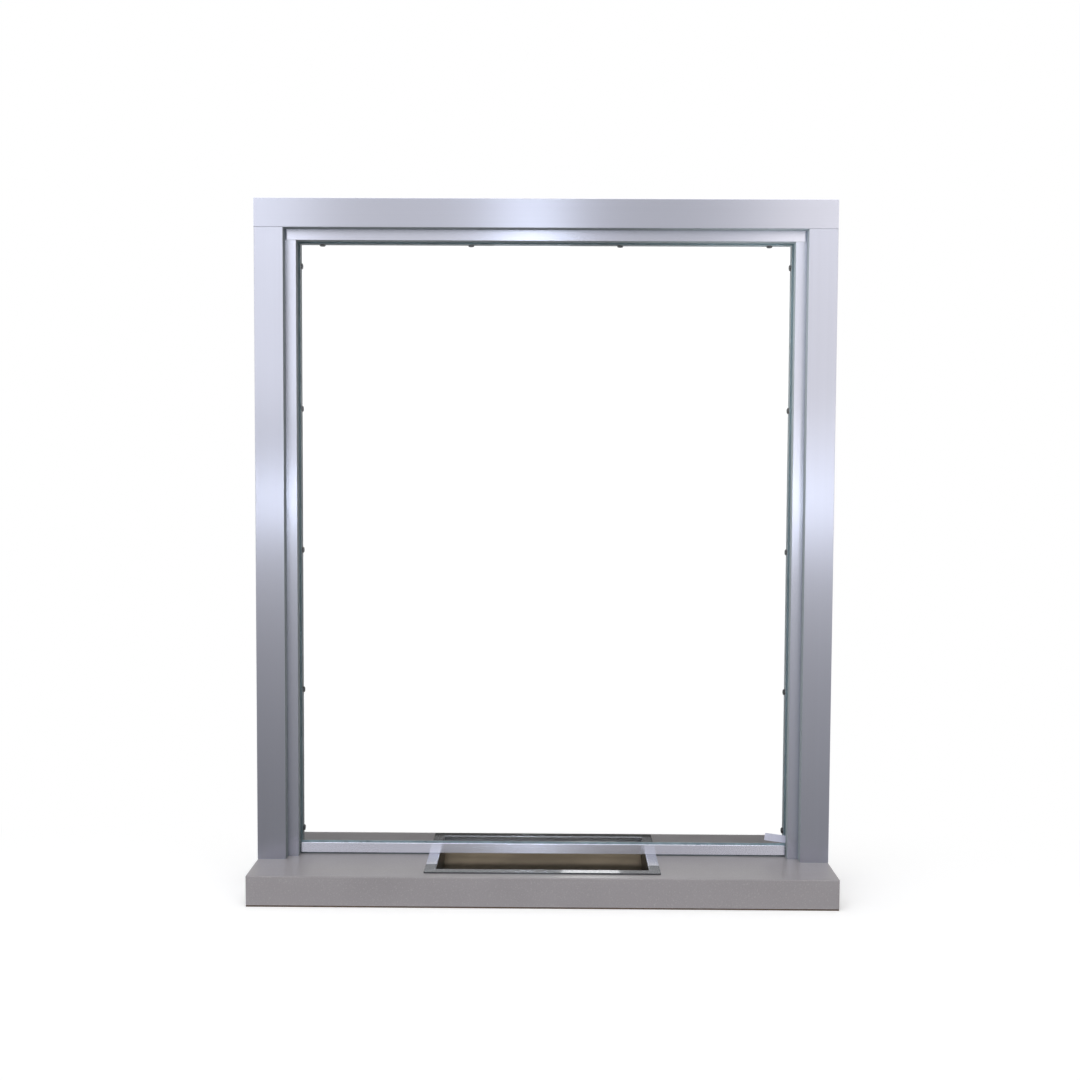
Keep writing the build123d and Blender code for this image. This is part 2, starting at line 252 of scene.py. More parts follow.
class PayWindowStage(bpy.types.PropertyGroup):
    """Camera, room light, lamps, floor and cards"""

    camera_place: bpy.props.FloatVectorProperty(
        name="Camera",
        description="Where the camera stands",
        default=(0.00871, -1.9261, 0.5762),
        subtype="TRANSLATION",
    )
    camera_yaw: angle_property("Camera Yaw", "Turn to the right", -0.00748)
    camera_pitch: angle_property("Camera Pitch", "Tilt downwards", 0.05668)
    camera_roll: angle_property("Camera Roll", "Roll about the line of sight", 0.00481)
    camera_lens: bpy.props.FloatProperty(
        name="Lens",
        description="Focal length on a 36 mm sensor",
        default=47.88,
        min=1.0,
        unit="CAMERA",
    )
    floor_size: length_property("Floor Size", "Width of the pale floor", 30.0)
    floor_near: length_property("Floor Near", "Where the floor begins to turn plain white", 0.16)
    floor_far: length_property("Floor Far", "Where the floor is plain white", 0.6)
    floor_glow: share_property("Floor Lift", "White added to the paper beside the counter", 0.23)
    floor_colour: colour_property("Floor", "Pale floor near the window", (0.96, 0.96, 0.96))
    sky_light: share_property("Room Light", "Soft light from the front and the sides", 0.7)
    rear_light: share_property("Rear Light", "Soft light from behind the window", 0.22)
    top_softbox: power_property("Top Softbox", 38.0)
    left_softbox: power_property("Left Softbox", 12.4)
    right_softbox: power_property("Right Softbox", 8.5)
    head_lamp: power_property("Head Lamp", 0.37)
    camera_lamp: power_property("Camera Lamp", 1.5)
    left_fill: power_property("Left Fill Lamp", 0.2)
    right_fill: power_property("Right Fill Lamp", 0.9)
    tray_strip_light: amount_property(
        "Tray Strip", "Brightness of the strip that the tray's rim reflects", 4.4
    )
    flag_tone: share_property("Flag", "Tone of the tall flag beside the camera", 0.74)
    left_sky: share_property(
        "Light From Left", "Share of the room's soft light that comes from the left", 0.68
    )
    rear_card_tone: share_property("Rear Card", "Tone of the low card behind the window", 0.12)
    card_near: share_property("Card Near", "Tone of the grey card beside the counter", 0.32)
    card_depth: length_property("Card Depth", "How far the grey card reaches", 7.5)


# ---------------------------------------------------------------- shader building


def add_socket(group, name, kind, direction, value=None):
    """Give a node group one named socket."""
    socket = group.interface.new_socket(name=name, in_out=direction, socket_type=kind)
    if value is not None:
        socket.default_value = value


def add_node(tree, kind, **settings):
    """Add one node and set its plain properties."""
    node = tree.nodes.new(kind)
    for key, value in settings.items():
        setattr(node, key, value)
    return node


def connect(tree, value, socket):
    """Feed a socket from another socket, or set it to a plain value."""
    if isinstance(value, bpy.types.NodeSocket):
        tree.links.new(value, socket)
    elif hasattr(value, "__len__") and len(value) == 3 and len(socket.default_value) == 4:
        socket.default_value = (*value, 1.0)
    else:
        socket.default_value = value


def calculate(tree, operation, first, second=None, clamp=False):
    """One Math node."""
    node = add_node(tree, "ShaderNodeMath", operation=operation, use_clamp=clamp)
    connect(tree, first, node.inputs[0])
    if second is not None:
        connect(tree, second, node.inputs[1])
    return node.outputs[0]


def multiply(tree, first, second, clamp=False):
    """One Math node that multiplies."""
    return calculate(tree, "MULTIPLY", first, second, clamp)


def remap(tree, value, low, high, new_low=0.0, new_high=1.0, smooth=False):
    """Stretch the range low..high of a value to new_low..new_high."""
    easing = "SMOOTHSTEP" if smooth else "LINEAR"
    node = add_node(tree, "ShaderNodeMapRange", interpolation_type=easing)
    connect(tree, value, node.inputs["Value"])
    connect(tree, low, node.inputs["From Min"])
    connect(tree, high, node.inputs["From Max"])
    connect(tree, new_low, node.inputs["To Min"])
    connect(tree, new_high, node.inputs["To Max"])
    return node.outputs["Result"]


def spread(tree, noise, low, high):
    """Stretch the middle of a noise, where most of its values lie, to low..high."""
    return remap(tree, noise, 0.3, 0.7, low, high)


def blend_colours(tree, share, first, second, mode="MIX"):
    """Mix two colours by a share."""
    node = add_node(tree, "ShaderNodeMix", data_type="RGBA", blend_type=mode, clamp_factor=False)
    connect(tree, share, node.inputs["Factor"])
    connect(tree, first, node.inputs["A"])
    connect(tree, second, node.inputs["B"])
    return node.outputs["Result"]


def blend_masked(tree, mask, strength, first, second):
    """Mix two colours under a mask, at most by the given strength."""
    return blend_colours(tree, multiply(tree, mask, strength), first, second)


def shade(tree, colour, share):
    """A colour made darker or paler: 0 is black, 1 the colour itself."""
    return blend_colours(tree, share, BLACK, colour)


def split(tree, vector):
    """The three parts of a vector."""
    node = add_node(tree, "ShaderNodeSeparateXYZ")
    connect(tree, vector, node.inputs[0])
    return node.outputs


def stretched_noise(tree, place, stretch, scale, detail):
    """Noise of the given scale and detail, on stretched coordinates."""
    mapping = add_node(tree, "ShaderNodeMapping", vector_type="POINT")
    connect(tree, place, mapping.inputs["Vector"])
    connect(tree, stretch, mapping.inputs["Scale"])
    noise = add_node(tree, "ShaderNodeTexNoise")
    connect(tree, mapping.outputs["Vector"], noise.inputs["Vector"])
    connect(tree, scale, noise.inputs["Scale"])
    connect(tree, detail, noise.inputs["Detail"])
    return noise.outputs["Fac"]


def start_group(name, inputs, outputs):
    """An empty node group, what it is given and what it puts out."""
    group = bpy.data.node_groups.new(name, "ShaderNodeTree")
    for label, kind, value in inputs:
        add_socket(group, label, kind, "INPUT", value)
    for label, kind in outputs:
        add_socket(group, label, kind, "OUTPUT")
    given = group.nodes.new("NodeGroupInput").outputs
    return group, given, group.nodes.new("NodeGroupOutput").inputs


def drawn_lines_group():
    """Fine lines that a die or a brush leaves along the metal, with slow mottling."""
    group, given, made = start_group(
        "drawn_lines",
        (
            ("Place", "NodeSocketVector", None),
            ("Stretch", "NodeSocketVector", LENGTHWISE),
            ("Strength", "NodeSocketFloat", 0.1),
        ),
        (("Tone", "NodeSocketFloat"), ("Lines", "NodeSocketFloat")),
    )
    fine = stretched_noise(group, given["Place"], given["Stretch"], 1.6, 3.0)
    broad = stretched_noise(group, given["Place"], given["Stretch"], 0.28, 2.0)
    slow = stretched_noise(group, given["Place"], EVEN, 9.0, 3.0)
    lines = calculate(group, "ADD", multiply(group, fine, 0.55), multiply(group, broad, 0.45))
    both = calculate(group, "ADD", multiply(group, lines, 0.75), multiply(group, slow, 0.25))
    swing = multiply(group, calculate(group, "SUBTRACT", both, 0.5), 2.0)
    tone = calculate(group, "ADD", multiply(group, swing, given["Strength"]), 1.0)
    connect(group, tone, made["Tone"])
    connect(group, lines, made["Lines"])
    return group


def worn_edges_group():
    """A mask that is 1 on the edges of a piece, broken up as handling leaves them."""
    group, given, made = start_group(
        "worn_edges",
        (("Place", "NodeSocketVector", None), ("Reach", "NodeSocketFloat", 0.001)),
        (("Mask", "NodeSocketFloat"),),
    )
    eased = add_node(group, "ShaderNodeBevel", samples=4)
    connect(group, given["Reach"], eased.inputs["Radius"])
    surface = add_node(group, "ShaderNodeNewGeometry")
    turn = add_node(group, "ShaderNodeVectorMath", operation="DOT_PRODUCT")
    connect(group, eased.outputs["Normal"], turn.inputs[0])
    connect(group, surface.outputs["True Normal"], turn.inputs[1])
    edge = remap(group, turn.outputs["Value"], 0.98, 0.8, smooth=True)
    noise = stretched_noise(group, given["Place"], EVEN, 60.0, 3.0)
    patch = remap(group, noise, 0.35, 0.65, 0.4, 1.0)
    connect(group, multiply(group, edge, patch, clamp=True), made["Mask"])
    return group


def stone_grain_group():
    """The even grain of a honed counter: dark specks, pale specks and a soft cloud."""
    group, given, made = start_group(
        "stone_grain",
        (("Place", "NodeSocketVector", None), ("Speck Size", "NodeSocketFloat", 0.0011)),
        (("Dark", "NodeSocketFloat"), ("Pale", "NodeSocketFloat"), ("Cloud", "NodeSocketFloat")),
    )
    density = calculate(group, "DIVIDE", 1.0, given["Speck Size"])
    dark = stretched_noise(group, given["Place"], EVEN, density, 2.0)
    shifted = add_node(group, "ShaderNodeVectorMath", operation="ADD")
    connect(group, given["Place"], shifted.inputs[0])
    shifted.inputs[1].default_value = (0.37, 0.21, 0.53)
    pale = stretched_noise(group, shifted.outputs["Vector"], EVEN, density, 2.0)
    cloud = stretched_noise(group, given["Place"], EVEN, 14.0, 1.0)
    connect(group, remap(group, dark, 0.56, 0.7), made["Dark"])
    connect(group, remap(group, pale, 0.58, 0.72), made["Pale"])
    connect(group, cloud, made["Cloud"])
    return group


def dust_group():
    """Faint dust that lies in patches on level faces."""
    group, given, made = start_group(
        "light_dust",
        (("Place", "NodeSocketVector", None), ("Amount", "NodeSocketFloat", 0.1)),
        (("Mask", "NodeSocketFloat"),),
    )
    surface = add_node(group, "ShaderNodeNewGeometry")
    level = remap(group, split(group, surface.outputs["Normal"])["Z"], 0.2, 0.9)
    patch = remap(group, stretched_noise(group, given["Place"], EVEN, 25.0, 5.0), 0.35, 0.75)
    lying = multiply(group, level, patch)
    connect(group, multiply(group, lying, given["Amount"], clamp=True), made["Mask"])
    return group


GROUP_MAKERS = {
    "drawn_lines": drawn_lines_group,
    "worn_edges": worn_edges_group,
    "stone_grain": stone_grain_group,
    "light_dust": dust_group,
}


def use_group(tree, name, **values):
    """Place a shared node group, made once, with its own values."""
    node = tree.nodes.new("ShaderNodeGroup")
    node.node_tree = bpy.data.node_groups.get(name) or GROUP_MAKERS[name]()
    for key, value in values.items():
        connect(tree, value, node.inputs[key.replace("_", " ").title()])
    return node.outputs


class Finish:
    """One material with its Principled shader, object coordinates and surface directions."""

    def __init__(self, name):
        self.material = bpy.data.materials.new(name)
        self.material.use_nodes = True
        self.tree = self.material.node_tree
        self.shader = self.tree.nodes["Principled BSDF"]
        self.place = add_node(self.tree, "ShaderNodeTexCoord").outputs["Object"]
        self.surface = add_node(self.tree, "ShaderNodeNewGeometry")

    def set(self, **values):
        """Set or feed sockets of the shader."""
        for key, value in values.items():
            connect(self.tree, value, self.shader.inputs[key.replace("_", " ")])

    def raise_surface(self, height, distance, strength=1.0):
        """Feed a height to a Bump node on the shader's normal."""
        bump = add_node(self.tree, "ShaderNodeBump")
        bump.inputs["Strength"].default_value = strength
        bump.inputs["Distance"].default_value = distance
        connect(self.tree, height, bump.inputs["Height"])
        connect(self.tree, bump.outputs["Normal"], self.shader.inputs["Normal"])

    def normal(self, axis):
        """How far a face looks along an axis of the window, from -1 to 1."""
        return split(self.tree, self.surface.outputs["True Normal"])[axis]

    def facing(self, axis, low=0.5, high=0.9, sign=1.0):
        """1 where a face looks along an axis of the window."""
        return remap(self.tree, multiply(self.tree, self.normal(axis), sign), low, high)

    def outward(self):
        """Distance from the window's middle plane, negative on faces that look towards it."""
        return multiply(self.tree, split(self.tree, self.place)["X"], self.normal("X"))


def metal_finish(
    name, colour, roughness, grain, stretch, round_axis=None, anisotropy=0.97, unevenness=0.02
):
    """Metal whose fine lines run one way. Returns the finish and its plain colour."""
    made = Finish(name)
    tree = made.tree
    lines = use_group(tree, "drawn_lines", place=made.place, stretch=stretch, strength=grain)
    edges = use_group(tree, "worn_edges", place=made.place, reach=0.0009)
    plain = blend_colours(tree, 1.0, colour, lines["Tone"], "MULTIPLY")
    polished = blend_masked(tree, edges["Mask"], 0.12, plain, (0.8, 0.81, 0.85))
    blurred = spread(tree, lines["Lines"], roughness - unevenness, roughness + unevenness)
    made.set(Base_Color=polished, Metallic=1.0, Roughness=blurred, Anisotropic=anisotropy)
    if round_axis:
        tangent = add_node(tree, "ShaderNodeTangent", direction_type="RADIAL", axis=round_axis)
        connect(tree, tangent.outputs["Tangent"], made.shader.inputs["Tangent"])
    made.raise_surface(lines["Lines"], 0.00001 * unevenness)
    return made, polished


def paint_reveal_shade(made, plain, mask, reveal, roughness, right_lift):
    """Paint dull dark shade on faces under a mask, with painted light: paler on the right, most at
    its top.
    """
    tree = made.tree
    place = split(tree, made.place)
    # Painted light: the reveal's shade turns paler towards the right and most towards its top.
    lower = 1.0 + LOWER_SHARE * right_lift
    lift = remap(tree, place["Z"], *PAINTED_LIGHT_UP, lower, 1.0 + right_lift)
    right = remap(tree, place["X"], *PAINTED_LIGHT_ACROSS, 1.0, lift)
    made.set(
        Base_Color=blend_colours(tree, mask, plain, shade(tree, reveal, right)),
        Metallic=calculate(tree, "SUBTRACT", 1.0, mask),
        Roughness=remap(tree, mask, 0.0, 1.0, roughness, REVEAL_ROUGHNESS),
    )


def paint(material, *nodes):
    """Give CAD nodes one material."""
    for name in nodes:
        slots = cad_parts[name].data.materials
        slots.clear()
        slots.append(material)


# ---------------------------------------------------------------- mesh building


def link_object(name, data):
    """A new object in the scene."""
    made = bpy.data.objects.new(name, data)
    bpy.context.scene.collection.objects.link(made)
    return made


def link_mesh(mesh, name):
    """Turn a bmesh into an object at the origin."""
    data = bpy.data.meshes.new(name)
    mesh.to_mesh(data)
    mesh.free()
    return link_object(name, data)


def finish_piece(mesh, name, material):
    """Turn a bmesh into a clean piece that rides on the window."""
    bmesh.ops.remove_doubles(mesh, verts=mesh.verts, dist=1e-7)
    bmesh.ops.recalc_face_normals(mesh, faces=mesh.faces)
    piece = link_mesh(mesh, name)
    piece.data.materials.append(material)
    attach(piece, "root")
    return piece


def edges_between(mesh, points):
    """The edges whose two ends are among the given points."""
    return [edge for edge in mesh.edges if set(edge.verts) <= set(points)]


def points_in(geometry):
    """The points among what a bmesh operator has made."""
    return [part for part in geometry if isinstance(part, bmesh.types.BMVert)]


def extrude_edges(mesh, edges):
    """Extrude edges on the spot and return their new points."""
    return points_in(bmesh.ops.extrude_edge_only(mesh, edges=edges)["geom"])


def add_screw(mesh, sizes, place):
    """A low button head with a hexagon socket and a shank, standing on +Z of the given place."""
    before = set(mesh.verts)
    ring = bmesh.ops.create_circle(mesh, segments=SCREW_SEGMENTS, radius=sizes.screw_radius)
    rim = extrude_edges(mesh, edges_between(mesh, ring["verts"]))
    bmesh.ops.translate(mesh, verts=rim, vec=(0, 0, sizes.screw_height - sizes.screw_dome))
    for step in range(1, DOME_STEPS + 1):
        angle = math.pi / 2 * step / DOME_STEPS
        reach = sizes.screw_radius - sizes.screw_dome * (1 - math.cos(angle))
        rise = sizes.screw_height - sizes.screw_dome * (1 - math.sin(angle))
        rim = extrude_edges(mesh, edges_between(mesh, rim))
        old_reach = math.hypot(rim[0].co.x, rim[0].co.y)
        bmesh.ops.scale(mesh, verts=rim, vec=(reach / old_reach, reach / old_reach, 1))
        bmesh.ops.translate(mesh, verts=rim, vec=(0, 0, rise - rim[0].co.z))
    for outer, segments, radius, height, depth in (
        (rim, DRIVE_SIDES, sizes.drive_radius, sizes.screw_height, sizes.drive_depth),
        (ring["verts"], SCREW_SEGMENTS, sizes.shank_radius, 0.0, sizes.shank_length),
    ):
        edges = edges_between(mesh, outer)
        level = Matrix.Translation((0, 0, height))
        inner = bmesh.ops.create_circle(mesh, segments=segments, radius=radius, matrix=level)
        inner_edges = edges_between(mesh, inner["verts"])
        bmesh.ops.bridge_loops(mesh, edges=edges + inner_edges)
        end = extrude_edges(mesh, inner_edges)
        bmesh.ops.translate(mesh, verts=end, vec=(0, 0, -depth))
        bmesh.ops.contextual_create(mesh, geom=edges_between(mesh, end))
    made = [point for point in mesh.verts if point not in before]
    bmesh.ops.transform(mesh, matrix=place, verts=made)


# ---------------------------------------------------------------- operators


class PAYWINDOW_OT_casing(bpy.types.Operator):
    """Finish the three casing tubes in satin anodised aluminium"""

    bl_idname = "paywindow.casing"
    bl_label = "Casing"

    def execute(self, context):
        looks = context.scene.pay_window_finishes
        gloss = looks.aluminium_gloss
        for name, stretch, axis, nodes in (
            ("casing_aluminium_level", LENGTHWISE, "X", ["casing_head"]),
            ("casing_aluminium_upright", UPRIGHT, "Z", ["casing_jamb_left", "casing_jamb_right"]),
        ):
            made, plain = metal_finish(name, looks.aluminium, gloss, looks.grain, stretch, axis)
            # Painted shade on the casing head's soffit and on the jambs' faces that look into the
            # opening.
            if axis == "X":
                inward = made.facing("Z", sign=-1.0)
            else:
                inward = remap(made.tree, made.outward(), -0.2, -0.3)
            paint_reveal_shade(made, plain, inward, looks.reveal, gloss, looks.reveal_painted_light)
            paint(made.material, *nodes)
        return {"FINISHED"}


class PAYWINDOW_OT_stops(bpy.types.Operator):
    """Finish the front and rear glazing stops, with dull painted shade on the faces that look into
    the opening
    """

    bl_idname = "paywindow.stops"
    bl_label = "Glazing Stops"

    def execute(self, context):
        looks = context.scene.pay_window_finishes
        gloss = looks.stop_gloss
        # The head stops' paler colour is painted light.
        for row, colour, stretch, axis, inward, places in (
            ("level", looks.head_stop_painted_light, LENGTHWISE, "X", "Z", ["head"]),
            ("upright", looks.stop_aluminium, UPRIGHT, "Z", "X", ["left", "right"]),
        ):
            for kind in ("front", "rear"):
                name = f"{kind}_stop_aluminium_{row}"
                made, plain = metal_finish(name, colour, gloss, looks.grain, stretch, axis)
                # Painted shade on the stops' faces that look into the opening.
                turn = calculate(made.tree, "ABSOLUTE", made.normal(inward))
                sideways = remap(made.tree, turn, 0.6, 0.95)
                tone, mask = looks.reveal, sideways
                # Painted shade on the rear stops' faces that show through the glass.
                if kind == "rear":
                    forward = made.facing("Y", sign=-1.0)
                    tone = blend_colours(made.tree, forward, looks.reveal, looks.stop_edge_painted_shade)
                    mask = calculate(made.tree, "MAXIMUM", sideways, forward)
                paint_reveal_shade(made, plain, mask, tone, gloss, looks.reveal_painted_light)
                paint(made.material, *[f"{kind}_stop_{place}" for place in places])
        return {"FINISHED"}


class PAYWINDOW_OT_rail(bpy.types.Operator):
    """Finish the bottom rail and the blocks inside the jambs"""

    bl_idname = "paywindow.rail"
    bl_label = "Rail and Blocks"

    def execute(self, context):
        looks = context.scene.pay_window_finishes
        made, _ = metal_finish(
            "rail_aluminium",
            looks.rail,
            roughness=looks.stop_gloss,
            grain=looks.grain / 6,
            stretch=LENGTHWISE,
            round_axis="X",
            unevenness=0.0005,
        )
        paint(made.material, "bottom_rail")
        made, _ = metal_finish(
            "block_aluminium",
            looks.block,
            roughness=0.45,
            grain=0.2,
            stretch=UPRIGHT,
            anisotropy=0.0,
        )
        for hand in ("left", "right"):
            paint(made.material, f"base_block_{hand}", f"shear_block_{hand}")
        return {"FINISHED"}


class PAYWINDOW_OT_gaskets(bpy.types.Operator):
    """Finish the gaskets, seals and setting blocks"""

    bl_idname = "paywindow.gaskets"
    bl_label = "Gaskets and Seals"

    def execute(self, context):
        looks = context.scene.pay_window_finishes
        for name, colour, roughness, nodes in (
            ("black_rubber", looks.rubber, 0.6, DARK_RUBBER_NODES),
            ("rail_vinyl", looks.rail_rubber, 0.35, ["rail_gasket"]),
        ):
            made = Finish(name)
            tree = made.tree
            bloom = stretched_noise(tree, made.place, EVEN, 90.0, 4.0)
            tone = shade(tree, colour, remap(tree, bloom, 0.3, 0.8, 0.75, 1.25))
            dust = use_group(tree, "light_dust", place=made.place, amount=0.12)
            made.set(
                Base_Color=blend_colours(tree, dust["Mask"], tone, (0.4, 0.38, 0.35)),
                Roughness=spread(tree, bloom, roughness - 0.08, roughness + 0.08),
            )
            made.raise_surface(stretched_noise(tree, made.place, EVEN, 1500.0, 2.0), 0.00003)
            paint(made.material, *nodes)
        return {"FINISHED"}


class PAYWINDOW_OT_glass(bpy.types.Operator):
    """Finish the thick security glass, clear on its faces and green on its ground edges"""

    bl_idname = "paywindow.glass"
    bl_label = "Security Glass"

    def execute(self, context):
        looks = context.scene.pay_window_finishes
        sizes = context.scene.pay_window_fixings
        made = Finish("security_glass")
        edge = remap(made.tree, calculate(made.tree, "ABSOLUTE", made.normal("Y")), 0.95, 0.6)
        wiped = stretched_noise(made.tree, made.place, (3.0, 3.0, 14.0), 1.0, 4.0)
        ground = remap(made.tree, edge, 0.0, 1.0, 0.0, 0.45)
        haze = remap(made.tree, wiped, 0.55, 0.8, 0.0, 0.015)
        made.set(
            Base_Color=blend_colours(made.tree, edge, looks.glass, looks.glass_edge),
            Roughness=calculate(made.tree, "MAXIMUM", ground, haze),
            Metallic=0.0,
            Transmission_Weight=1.0,
            IOR=1.52,
        )
        low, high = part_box("glass_pane")
        sides = [side - 2 * sizes.glass_inset for side in (high - low)]
        mesh = bmesh.new()
        bmesh.ops.create_cube(mesh, size=1.0)
        bmesh.ops.scale(mesh, verts=mesh.verts, vec=sides)
        bmesh.ops.translate(mesh, verts=mesh.verts, vec=(low + high) / 2)
        bmesh.ops.bevel(
            mesh,
            geom=list(mesh.edges),
            offset=sizes.glass_arris,
            offset_type="OFFSET",
            segments=1,
            profile=0.5,
            affect="EDGES",
            material=-1,
        )
        piece = finish_piece(mesh, "security_glass_pane", made.material)
        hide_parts("glass_pane")
        return {"FINISHED"}


class PAYWINDOW_OT_tray(bpy.types.Operator):
    """Finish the stainless deal tray, with painted shade: warm and dark in its bowl, also on the
    rim's front and rear and inside its end walls
    """

    bl_idname = "paywindow.tray"
    bl_label = "Deal Tray"

    def execute(self, context):
        looks = context.scene.pay_window_finishes
        made, plain = metal_finish(
            "tray_flange_steel",
            looks.steel,
            roughness=0.2,
            grain=0.03,
            stretch=LENGTHWISE,
            round_axis="X",
            anisotropy=0.9,
            unevenness=0.002,
        )
        low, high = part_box("tray_end_left")
        along = split(made.tree, made.place)["Y"]
        front = remap(made.tree, along, *(low.y + reach for reach in RIM_FRONT), smooth=True)
        rear = remap(made.tree, along, *(high.y - reach for reach in RIM_REAR), smooth=True)
        # Painted shade on the front and rear of the rim.
        rim_shade_mask = calculate(made.tree, "MAXIMUM", front, rear)
        made.set(Base_Color=blend_colours(made.tree, rim_shade_mask, plain, looks.rim_painted_shade))
        paint(made.material, "tray_flange")

        made, plain = metal_finish(
            "tray_bowl_steel",
            looks.steel,
            roughness=0.36,
            grain=0.05,
            stretch=LENGTHWISE,
            anisotropy=0.0,
            unevenness=0.008,
        )
        tree = made.tree
        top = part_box("tray_scoop")[1].z
        height = split(tree, made.place)["Z"]
        # Painted shade inside the bowl, from a little below the rim downwards, varied by noise.
        deep = remap(tree, height, *(top - depth for depth in BOWL_SHADE_DEPTH))
        bowl_shade_mottle = stretched_noise(tree, made.place, (14.0, 30.0, 30.0), 1.0, 5.0)
        bowl_shade = shade(tree, looks.bowl_painted_shade, remap(tree, bowl_shade_mottle, 0.3, 0.75, 0.8, 1.25))
        inside = multiply(tree, deep, made.facing("Z", -0.05, 0.05))
        made.set(Base_Color=blend_colours(tree, inside, plain, bowl_shade))
        paint(made.material, "tray_scoop")

        made, plain = metal_finish(
            "tray_end_steel",
            looks.steel,
            roughness=0.36,
            grain=0.08,
            stretch=LENGTHWISE,
            anisotropy=0.0,
        )
        # Painted shade inside the end walls.
        inside = remap(made.tree, made.outward(), 0.01, -0.01)
        made.set(Base_Color=blend_colours(made.tree, inside, plain, looks.tray_end))
        paint(made.material, "tray_end_left", "tray_end_right")
        return {"FINISHED"}


class PAYWINDOW_OT_counter(bpy.types.Operator):
    """Finish the counter, its core and the backer sheet"""

    bl_idname = "paywindow.counter"
    bl_label = "Counter"

    def execute(self, context):
        looks = context.scene.pay_window_finishes
        made = Finish("counter_stone")
        tree = made.tree
        grain = use_group(tree, "stone_grain", place=made.place, speck_size=0.0016)
        edges = use_group(tree, "worn_edges", place=made.place, reach=0.002)
        dust = use_group(tree, "light_dust", place=made.place, amount=0.06)
        colour = shade(tree, looks.counter, remap(tree, grain["Cloud"], 0.1, 0.9, 0.94, 1.06))
        for mask, strength, second in (
            (grain["Dark"], 0.22, (0.2, 0.18, 0.18)),
            (grain["Pale"], 0.22, (0.55, 0.53, 0.53)),
            (edges["Mask"], 0.4, (0.5, 0.48, 0.48)),
        ):
            colour = blend_masked(tree, mask, strength, colour, second)
        made.set(
            Base_Color=blend_colours(tree, dust["Mask"], colour, (0.5, 0.49, 0.48)),
            Roughness=remap(tree, grain["Cloud"], 0.1, 0.9, 0.38, 0.46),
            Specular_IOR_Level=0.52,
        )
        made.raise_surface(grain["Dark"], 0.00003, 0.6)
        paint(made.material, "counter_top")

        made = Finish("counter_plywood")
        tree = made.tree
        layers = stretched_noise(tree, made.place, (8.0, 8.0, 700.0), 1.0, 2.0)
        figure = stretched_noise(tree, made.place, (12.0, 120.0, 40.0), 1.0, 5.0)
        dark = remap(tree, layers, 0.35, 0.65)
        wood = blend_colours(tree, dark, looks.plywood, (0.28, 0.17, 0.09))
        pale = remap(tree, figure, 0.4, 0.8, 0.0, 0.35)
        made.set(
            Base_Color=blend_colours(tree, pale, wood, (0.6, 0.45, 0.28)),
            Roughness=spread(tree, figure, 0.6, 0.8),
        )
        made.raise_surface(figure, 0.0001)
        paint(made.material, "counter_core")

        # Painted shade: the dark brown backer makes the shaded line along the counter's lower edge.
        made = Finish("brown_backer")
        mottle = stretched_noise(made.tree, made.place, EVEN, 260.0, 4.0)
        made.set(
            Base_Color=shade(made.tree, looks.backer, spread(made.tree, mottle, 0.7, 1.3)),
            Roughness=spread(made.tree, mottle, 0.6, 0.75),
        )
        made.raise_surface(mottle, 0.0001)
        paint(made.material, "counter_backer")
        return {"FINISHED"}


class PAYWINDOW_OT_screws(bpy.types.Operator):
    """Add the stop screws, four in the head stop and five in each jamb stop"""

    bl_idname = "paywindow.screws"
    bl_label = "Stop Screws"

    def execute(self, context):
        looks = context.scene.pay_window_finishes
        sizes = context.scene.pay_window_fixings
        made = Finish("screw_steel")
        marks = stretched_noise(made.tree, made.place, EVEN, 900.0, 3.0)
        edges = use_group(made.tree, "worn_edges", place=made.place, reach=0.0004)
        dark = shade(made.tree, looks.screw, spread(made.tree, marks, 0.8, 1.2))
        made.set(
            Base_Color=blend_masked(made.tree, edges["Mask"], 0.3, dark, (0.25, 0.26, 0.27)),
            Metallic=1.0,
            Roughness=spread(made.tree, marks, 0.28, 0.4),
        )
        made.raise_surface(marks, 0.00002)

        low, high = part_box("rear_stop_head")
        across = (low.y + high.y) / 2
        down = Matrix.Rotation(math.pi, 4, "X")
        mesh = bmesh.new()
        for number in range(HEAD_SCREWS):
            x = (number - (HEAD_SCREWS - 1) / 2) * sizes.head_spacing
            add_screw(mesh, sizes, Matrix.Translation((x, across, low.z)) @ down)
        finish_piece(mesh, "stop_screws_head", made.material)

        for hand, side in (("left", 1.0), ("right", -1.0)):
            low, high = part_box(f"rear_stop_{hand}")
            face = high.x if side > 0 else low.x
            inward = Matrix.Rotation(side * math.pi / 2, 4, "Y")
            mesh = bmesh.new()
            for number in range(JAMB_SCREWS):
                z = low.z + sizes.end_margin + number * sizes.jamb_spacing
                add_screw(mesh, sizes, Matrix.Translation((face, across, z)) @ inward)
            finish_piece(mesh, f"stop_screws_{hand}", made.material)
        return {"FINISHED"}


